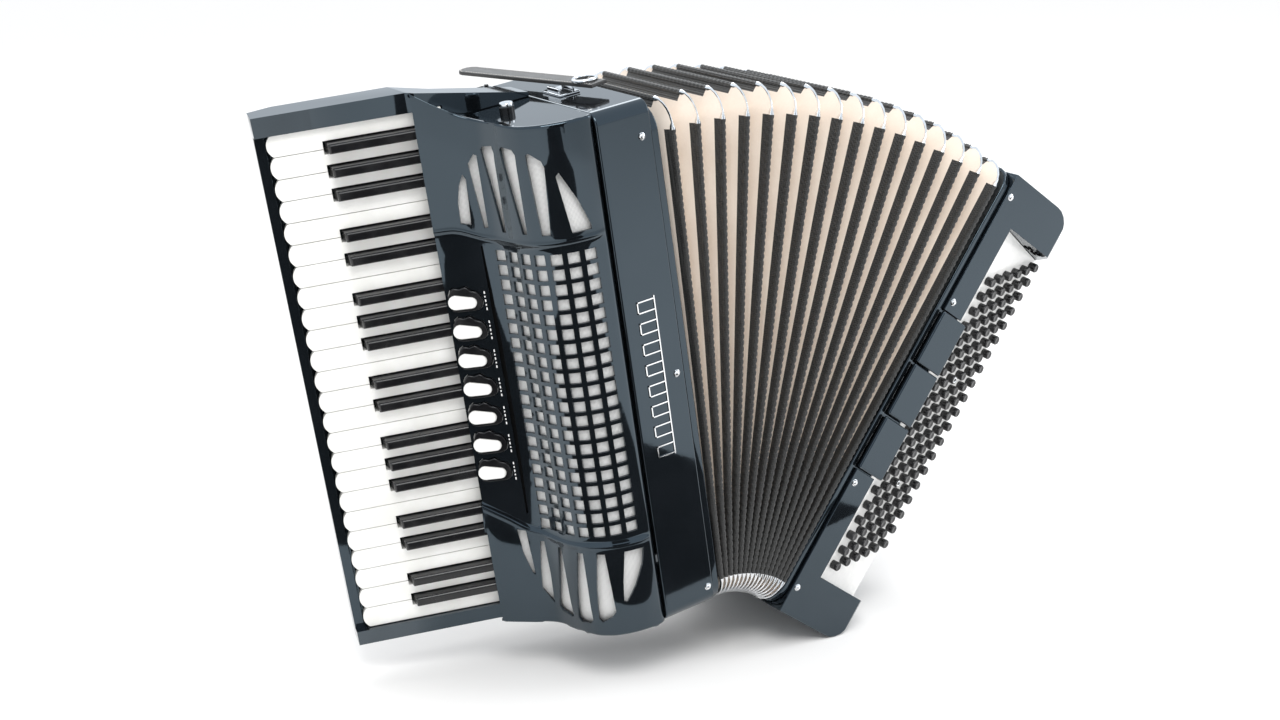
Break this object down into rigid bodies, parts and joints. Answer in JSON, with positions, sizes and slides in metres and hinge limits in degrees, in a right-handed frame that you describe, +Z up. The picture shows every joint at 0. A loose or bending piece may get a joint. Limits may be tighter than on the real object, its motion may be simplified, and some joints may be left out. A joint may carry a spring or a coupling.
{
  "type": "piano accordion",
  "caption": "Piano accordion with a hinged keyboard, rocking register switches, a fanning bellows and a bass end with a button board, paddles and hand strap.",
  "frame": {"origin": "middle of the flat back of the treble case, the face that lies against the player", "axes": "+X from the keyboard side to the bass side, -Y out of the front that the audience sees, +Z up"},
  "size_m": [0.8087, 0.2384, 0.5715],
  "materials": {
    "black_lacquer": "black celluloid over wood, high gloss",
    "black_plastic": "semi-gloss",
    "white_key": "polished",
    "black_key": "satin",
    "register_white": "polished white tab on a black rocker",
    "grille_silver": "fine woven mesh",
    "bellows_card": "cream cloth on card, black embossed tapes",
    "bass_button_set": "black buttons on a white board",
    "leather": "black, light stitching"
  },
  "bodies": {
    "treble": {"treble_case": "black_lacquer", "grille_cover": "black_lacquer", "grille_mesh": "grille_silver", "keyboard_bed": "black_lacquer", "bellows": "bellows_card"},
    "bass": {"bass_case": "black_lacquer", "bass_buttons": "bass_button_set", "bass_strap": "leather"},
    "treble_register_1": {"treble_register_1": "register_white"},
    "treble_register_2": {"treble_register_2": "register_white"},
    "treble_register_3": {"treble_register_3": "register_white"},
    "treble_register_4": {"treble_register_4": "register_white"},
    "treble_register_5": {"treble_register_5": "register_white"},
    "treble_register_6": {"treble_register_6": "register_white"},
    "treble_register_7": {"treble_register_7": "register_white"},
    "bass_register_1": {"bass_register_1": "black_plastic"},
    "bass_register_2": {"bass_register_2": "black_plastic"},
    "bass_register_3": {"bass_register_3": "black_plastic"},
    "bellows_strap": {"bellows_strap": "leather"},
    "white_key_01": {"white_key_01": "white_key"},
    "white_key_02": {"white_key_02": "white_key"},
    "white_key_03": {"white_key_03": "white_key"},
    "white_key_04": {"white_key_04": "white_key"},
    "white_key_05": {"white_key_05": "white_key"},
    "white_key_06": {"white_key_06": "white_key"},
    "white_key_07": {"white_key_07": "white_key"},
    "white_key_08": {"white_key_08": "white_key"},
    "white_key_09": {"white_key_09": "white_key"},
    "white_key_10": {"white_key_10": "white_key"},
    "white_key_11": {"white_key_11": "white_key"},
    "white_key_12": {"white_key_12": "white_key"},
    "white_key_13": {"white_key_13": "white_key"},
    "white_key_14": {"white_key_14": "white_key"},
    "white_key_15": {"white_key_15": "white_key"},
    "white_key_16": {"white_key_16": "white_key"},
    "white_key_17": {"white_key_17": "white_key"},
    "white_key_18": {"white_key_18": "white_key"},
    "white_key_19": {"white_key_19": "white_key"},
    "white_key_20": {"white_key_20": "white_key"},
    "white_key_21": {"white_key_21": "white_key"},
    "white_key_22": {"white_key_22": "white_key"},
    "white_key_23": {"white_key_23": "white_key"},
    "white_key_24": {"white_key_24": "white_key"},
    "black_key_01": {"black_key_01": "black_key"},
    "black_key_02": {"black_key_02": "black_key"},
    "black_key_03": {"black_key_03": "black_key"},
    "black_key_04": {"black_key_04": "black_key"},
    "black_key_05": {"black_key_05": "black_key"},
    "black_key_06": {"black_key_06": "black_key"},
    "black_key_07": {"black_key_07": "black_key"},
    "black_key_08": {"black_key_08": "black_key"},
    "black_key_09": {"black_key_09": "black_key"},
    "black_key_10": {"black_key_10": "black_key"},
    "black_key_11": {"black_key_11": "black_key"},
    "black_key_12": {"black_key_12": "black_key"},
    "black_key_13": {"black_key_13": "black_key"},
    "black_key_14": {"black_key_14": "black_key"},
    "black_key_15": {"black_key_15": "black_key"},
    "black_key_16": {"black_key_16": "black_key"},
    "black_key_17": {"black_key_17": "black_key"}
  },
  "joints": [
    {"name": "bellows_fan", "type": "hinge", "parent": "treble", "child": "bass", "pos_m": [0.11295, -0.192, -0.20814], "axis": [0, 1, 0], "range_deg": [-44, 6], "deforming": ["bellows"]},
    {"name": "treble_register_1_rock", "type": "hinge", "parent": "treble", "child": "treble_register_1", "pos_m": [-0.14369, -0.0981, 0.06659], "axis": [-0.1564, 0, 0.9877], "range_deg": [-4, 4]},
    {"name": "treble_register_2_rock", "type": "hinge", "parent": "treble", "child": "treble_register_2", "pos_m": [-0.13927, -0.0981, 0.03874], "axis": [-0.1564, 0, 0.9877], "range_deg": [-4, 4]},
    {"name": "treble_register_3_rock", "type": "hinge", "parent": "treble", "child": "treble_register_3", "pos_m": [-0.13486, -0.0981, 0.01089], "axis": [-0.1564, 0, 0.9877], "range_deg": [-4, 4]},
    {"name": "treble_register_4_rock", "type": "hinge", "parent": "treble", "child": "treble_register_4", "pos_m": [-0.13045, -0.0981, -0.01697], "axis": [-0.1564, 0, 0.9877], "range_deg": [-4, 4]},
    {"name": "treble_register_5_rock", "type": "hinge", "parent": "treble", "child": "treble_register_5", "pos_m": [-0.12604, -0.0981, -0.04482], "axis": [-0.1564, 0, 0.9877], "range_deg": [-4, 4]},
    {"name": "treble_register_6_rock", "type": "hinge", "parent": "treble", "child": "treble_register_6", "pos_m": [-0.12163, -0.0981, -0.07267], "axis": [-0.1564, 0, 0.9877], "range_deg": [-4, 4]},
    {"name": "treble_register_7_rock", "type": "hinge", "parent": "treble", "child": "treble_register_7", "pos_m": [-0.11722, -0.0981, -0.10052], "axis": [-0.1564, 0, 0.9877], "range_deg": [-4, 4]},
    {"name": "bass_register_1_press", "type": "hinge", "parent": "bass", "child": "bass_register_1", "pos_m": [0.16145, -0.194, -0.2421], "axis": [0.5736, 0, 0.8192], "range_deg": [0, 5], "stiffness_Nm_per_rad": 0.1, "springref_deg": -5.73},
    {"name": "bass_register_2_press", "type": "hinge", "parent": "bass", "child": "bass_register_2", "pos_m": [0.16145, -0.194, -0.2421], "axis": [0.5736, 0, 0.8192], "range_deg": [0, 5], "stiffness_Nm_per_rad": 0.1, "springref_deg": -5.73},
    {"name": "bass_register_3_press", "type": "hinge", "parent": "bass", "child": "bass_register_3", "pos_m": [0.16145, -0.194, -0.2421], "axis": [0.5736, 0, 0.8192], "range_deg": [0, 5], "stiffness_Nm_per_rad": 0.1, "springref_deg": -5.73},
    {"name": "bellows_strap_swing", "type": "hinge", "parent": "treble", "child": "bellows_strap", "pos_m": [-0.02914, -0.126, 0.25432], "axis": [-0.1564, 0, 0.9877], "range_deg": [-100, 0]},
    {"name": "white_key_01_press", "type": "hinge", "parent": "treble", "child": "white_key_01", "pos_m": [-0.15792, -0.07667, 0.22972], "axis": [0.1564, 0, -0.9877], "range_deg": [0, 1.7], "stiffness_Nm_per_rad": 0.8, "springref_deg": -5.73},
    {"name": "white_key_02_press", "type": "hinge", "parent": "treble", "child": "white_key_02", "pos_m": [-0.15474, -0.07667, 0.20967], "axis": [0.1564, 0, -0.9877], "range_deg": [0, 1.7], "stiffness_Nm_per_rad": 0.8, "springref_deg": -5.73},
    {"name": "white_key_03_press", "type": "hinge", "parent": "treble", "child": "white_key_03", "pos_m": [-0.15157, -0.07667, 0.18962], "axis": [0.1564, 0, -0.9877], "range_deg": [0, 1.7], "stiffness_Nm_per_rad": 0.8, "springref_deg": -5.73},
    {"name": "white_key_04_press", "type": "hinge", "parent": "treble", "child": "white_key_04", "pos_m": [-0.14839, -0.07667, 0.16957], "axis": [0.1564, 0, -0.9877], "range_deg": [0, 1.7], "stiffness_Nm_per_rad": 0.8, "springref_deg": -5.73},
    {"name": "white_key_05_press", "type": "hinge", "parent": "treble", "child": "white_key_05", "pos_m": [-0.14522, -0.07667, 0.14952], "axis": [0.1564, 0, -0.9877], "range_deg": [0, 1.7], "stiffness_Nm_per_rad": 0.8, "springref_deg": -5.73},
    {"name": "white_key_06_press", "type": "hinge", "parent": "treble", "child": "white_key_06", "pos_m": [-0.14204, -0.07667, 0.12947], "axis": [0.1564, 0, -0.9877], "range_deg": [0, 1.7], "stiffness_Nm_per_rad": 0.8, "springref_deg": -5.73},
    {"name": "white_key_07_press", "type": "hinge", "parent": "treble", "child": "white_key_07", "pos_m": [-0.13887, -0.07667, 0.10942], "axis": [0.1564, 0, -0.9877], "range_deg": [0, 1.7], "stiffness_Nm_per_rad": 0.8, "springref_deg": -5.73},
    {"name": "white_key_08_press", "type": "hinge", "parent": "treble", "child": "white_key_08", "pos_m": [-0.13569, -0.07667, 0.08937], "axis": [0.1564, 0, -0.9877], "range_deg": [0, 1.7], "stiffness_Nm_per_rad": 0.8, "springref_deg": -5.73},
    {"name": "white_key_09_press", "type": "hinge", "parent": "treble", "child": "white_key_09", "pos_m": [-0.13251, -0.07667, 0.06932], "axis": [0.1564, 0, -0.9877], "range_deg": [0, 1.7], "stiffness_Nm_per_rad": 0.8, "springref_deg": -5.73},
    {"name": "white_key_10_press", "type": "hinge", "parent": "treble", "child": "white_key_10", "pos_m": [-0.12934, -0.07667, 0.04927], "axis": [0.1564, 0, -0.9877], "range_deg": [0, 1.7], "stiffness_Nm_per_rad": 0.8, "springref_deg": -5.73},
    {"name": "white_key_11_press", "type": "hinge", "parent": "treble", "child": "white_key_11", "pos_m": [-0.12616, -0.07667, 0.02922], "axis": [0.1564, 0, -0.9877], "range_deg": [0, 1.7], "stiffness_Nm_per_rad": 0.8, "springref_deg": -5.73},
    {"name": "white_key_12_press", "type": "hinge", "parent": "treble", "child": "white_key_12", "pos_m": [-0.12299, -0.07667, 0.00917], "axis": [0.1564, 0, -0.9877], "range_deg": [0, 1.7], "stiffness_Nm_per_rad": 0.8, "springref_deg": -5.73},
    {"name": "white_key_13_press", "type": "hinge", "parent": "treble", "child": "white_key_13", "pos_m": [-0.11981, -0.07667, -0.01088], "axis": [0.1564, 0, -0.9877], "range_deg": [0, 1.7], "stiffness_Nm_per_rad": 0.8, "springref_deg": -5.73},
    {"name": "white_key_14_press", "type": "hinge", "parent": "treble", "child": "white_key_14", "pos_m": [-0.11664, -0.07667, -0.03093], "axis": [0.1564, 0, -0.9877], "range_deg": [0, 1.7], "stiffness_Nm_per_rad": 0.8, "springref_deg": -5.73},
    {"name": "white_key_15_press", "type": "hinge", "parent": "treble", "child": "white_key_15", "pos_m": [-0.11346, -0.07667, -0.05098], "axis": [0.1564, 0, -0.9877], "range_deg": [0, 1.7], "stiffness_Nm_per_rad": 0.8, "springref_deg": -5.73},
    {"name": "white_key_16_press", "type": "hinge", "parent": "treble", "child": "white_key_16", "pos_m": [-0.11028, -0.07667, -0.07103], "axis": [0.1564, 0, -0.9877], "range_deg": [0, 1.7], "stiffness_Nm_per_rad": 0.8, "springref_deg": -5.73},
    {"name": "white_key_17_press", "type": "hinge", "parent": "treble", "child": "white_key_17", "pos_m": [-0.10711, -0.07667, -0.09108], "axis": [0.1564, 0, -0.9877], "range_deg": [0, 1.7], "stiffness_Nm_per_rad": 0.8, "springref_deg": -5.73},
    {"name": "white_key_18_press", "type": "hinge", "parent": "treble", "child": "white_key_18", "pos_m": [-0.10393, -0.07667, -0.11113], "axis": [0.1564, 0, -0.9877], "range_deg": [0, 1.7], "stiffness_Nm_per_rad": 0.8, "springref_deg": -5.73},
    {"name": "white_key_19_press", "type": "hinge", "parent": "treble", "child": "white_key_19", "pos_m": [-0.10076, -0.07667, -0.13118], "axis": [0.1564, 0, -0.9877], "range_deg": [0, 1.7], "stiffness_Nm_per_rad": 0.8, "springref_deg": -5.73},
    {"name": "white_key_20_press", "type": "hinge", "parent": "treble", "child": "white_key_20", "pos_m": [-0.09758, -0.07667, -0.15123], "axis": [0.1564, 0, -0.9877], "range_deg": [0, 1.7], "stiffness_Nm_per_rad": 0.8, "springref_deg": -5.73},
    {"name": "white_key_21_press", "type": "hinge", "parent": "treble", "child": "white_key_21", "pos_m": [-0.09441, -0.07667, -0.17128], "axis": [0.1564, 0, -0.9877], "range_deg": [0, 1.7], "stiffness_Nm_per_rad": 0.8, "springref_deg": -5.73},
    {"name": "white_key_22_press", "type": "hinge", "parent": "treble", "child": "white_key_22", "pos_m": [-0.09123, -0.07667, -0.19133], "axis": [0.1564, 0, -0.9877], "range_deg": [0, 1.7], "stiffness_Nm_per_rad": 0.8, "springref_deg": -5.73},
    {"name": "white_key_23_press", "type": "hinge", "parent": "treble", "child": "white_key_23", "pos_m": [-0.08806, -0.07667, -0.21138], "axis": [0.1564, 0, -0.9877], "range_deg": [0, 1.7], "stiffness_Nm_per_rad": 0.8, "springref_deg": -5.73},
    {"name": "white_key_24_press", "type": "hinge", "parent": "treble", "child": "white_key_24", "pos_m": [-0.08488, -0.07667, -0.23143], "axis": [0.1564, 0, -0.9877], "range_deg": [0, 1.7], "stiffness_Nm_per_rad": 0.8, "springref_deg": -5.73},
    {"name": "black_key_01_press", "type": "hinge", "parent": "treble", "child": "black_key_01", "pos_m": [-0.15655, -0.07667, 0.22108], "axis": [0.1564, 0, -0.9877], "range_deg": [0, 1.7], "stiffness_Nm_per_rad": 0.8, "springref_deg": -5.73},
    {"name": "black_key_02_press", "type": "hinge", "parent": "treble", "child": "black_key_02", "pos_m": [-0.15316, -0.07667, 0.19965], "axis": [0.1564, 0, -0.9877], "range_deg": [0, 1.7], "stiffness_Nm_per_rad": 0.8, "springref_deg": -5.73},
    {"name": "black_key_03_press", "type": "hinge", "parent": "treble", "child": "black_key_03", "pos_m": [-0.14976, -0.07667, 0.17822], "axis": [0.1564, 0, -0.9877], "range_deg": [0, 1.7], "stiffness_Nm_per_rad": 0.8, "springref_deg": -5.73},
    {"name": "black_key_04_press", "type": "hinge", "parent": "treble", "child": "black_key_04", "pos_m": [-0.14382, -0.07667, 0.14068], "axis": [0.1564, 0, -0.9877], "range_deg": [0, 1.7], "stiffness_Nm_per_rad": 0.8, "springref_deg": -5.73},
    {"name": "black_key_05_press", "type": "hinge", "parent": "treble", "child": "black_key_05", "pos_m": [-0.14027, -0.07667, 0.11826], "axis": [0.1564, 0, -0.9877], "range_deg": [0, 1.7], "stiffness_Nm_per_rad": 0.8, "springref_deg": -5.73},
    {"name": "black_key_06_press", "type": "hinge", "parent": "treble", "child": "black_key_06", "pos_m": [-0.13432, -0.07667, 0.08073], "axis": [0.1564, 0, -0.9877], "range_deg": [0, 1.7], "stiffness_Nm_per_rad": 0.8, "springref_deg": -5.73},
    {"name": "black_key_07_press", "type": "hinge", "parent": "treble", "child": "black_key_07", "pos_m": [-0.13093, -0.07667, 0.0593], "axis": [0.1564, 0, -0.9877], "range_deg": [0, 1.7], "stiffness_Nm_per_rad": 0.8, "springref_deg": -5.73},
    {"name": "black_key_08_press", "type": "hinge", "parent": "treble", "child": "black_key_08", "pos_m": [-0.12753, -0.07667, 0.03787], "axis": [0.1564, 0, -0.9877], "range_deg": [0, 1.7], "stiffness_Nm_per_rad": 0.8, "springref_deg": -5.73},
    {"name": "black_key_09_press", "type": "hinge", "parent": "treble", "child": "black_key_09", "pos_m": [-0.12159, -0.07667, 0.00033], "axis": [0.1564, 0, -0.9877], "range_deg": [0, 1.7], "stiffness_Nm_per_rad": 0.8, "springref_deg": -5.73},
    {"name": "black_key_10_press", "type": "hinge", "parent": "treble", "child": "black_key_10", "pos_m": [-0.11804, -0.07667, -0.02209], "axis": [0.1564, 0, -0.9877], "range_deg": [0, 1.7], "stiffness_Nm_per_rad": 0.8, "springref_deg": -5.73},
    {"name": "black_key_11_press", "type": "hinge", "parent": "treble", "child": "black_key_11", "pos_m": [-0.11209, -0.07667, -0.05962], "axis": [0.1564, 0, -0.9877], "range_deg": [0, 1.7], "stiffness_Nm_per_rad": 0.8, "springref_deg": -5.73},
    {"name": "black_key_12_press", "type": "hinge", "parent": "treble", "child": "black_key_12", "pos_m": [-0.1087, -0.07667, -0.08105], "axis": [0.1564, 0, -0.9877], "range_deg": [0, 1.7], "stiffness_Nm_per_rad": 0.8, "springref_deg": -5.73},
    {"name": "black_key_13_press", "type": "hinge", "parent": "treble", "child": "black_key_13", "pos_m": [-0.1053, -0.07667, -0.10248], "axis": [0.1564, 0, -0.9877], "range_deg": [0, 1.7], "stiffness_Nm_per_rad": 0.8, "springref_deg": -5.73},
    {"name": "black_key_14_press", "type": "hinge", "parent": "treble", "child": "black_key_14", "pos_m": [-0.09936, -0.07667, -0.14002], "axis": [0.1564, 0, -0.9877], "range_deg": [0, 1.7], "stiffness_Nm_per_rad": 0.8, "springref_deg": -5.73},
    {"name": "black_key_15_press", "type": "hinge", "parent": "treble", "child": "black_key_15", "pos_m": [-0.09581, -0.07667, -0.16244], "axis": [0.1564, 0, -0.9877], "range_deg": [0, 1.7], "stiffness_Nm_per_rad": 0.8, "springref_deg": -5.73},
    {"name": "black_key_16_press", "type": "hinge", "parent": "treble", "child": "black_key_16", "pos_m": [-0.08986, -0.07667, -0.19997], "axis": [0.1564, 0, -0.9877], "range_deg": [0, 1.7], "stiffness_Nm_per_rad": 0.8, "springref_deg": -5.73},
    {"name": "black_key_17_press", "type": "hinge", "parent": "treble", "child": "black_key_17", "pos_m": [-0.08647, -0.07667, -0.2214], "axis": [0.1564, 0, -0.9877], "range_deg": [0, 1.7], "stiffness_Nm_per_rad": 0.8, "springref_deg": -5.73}
  ]
}
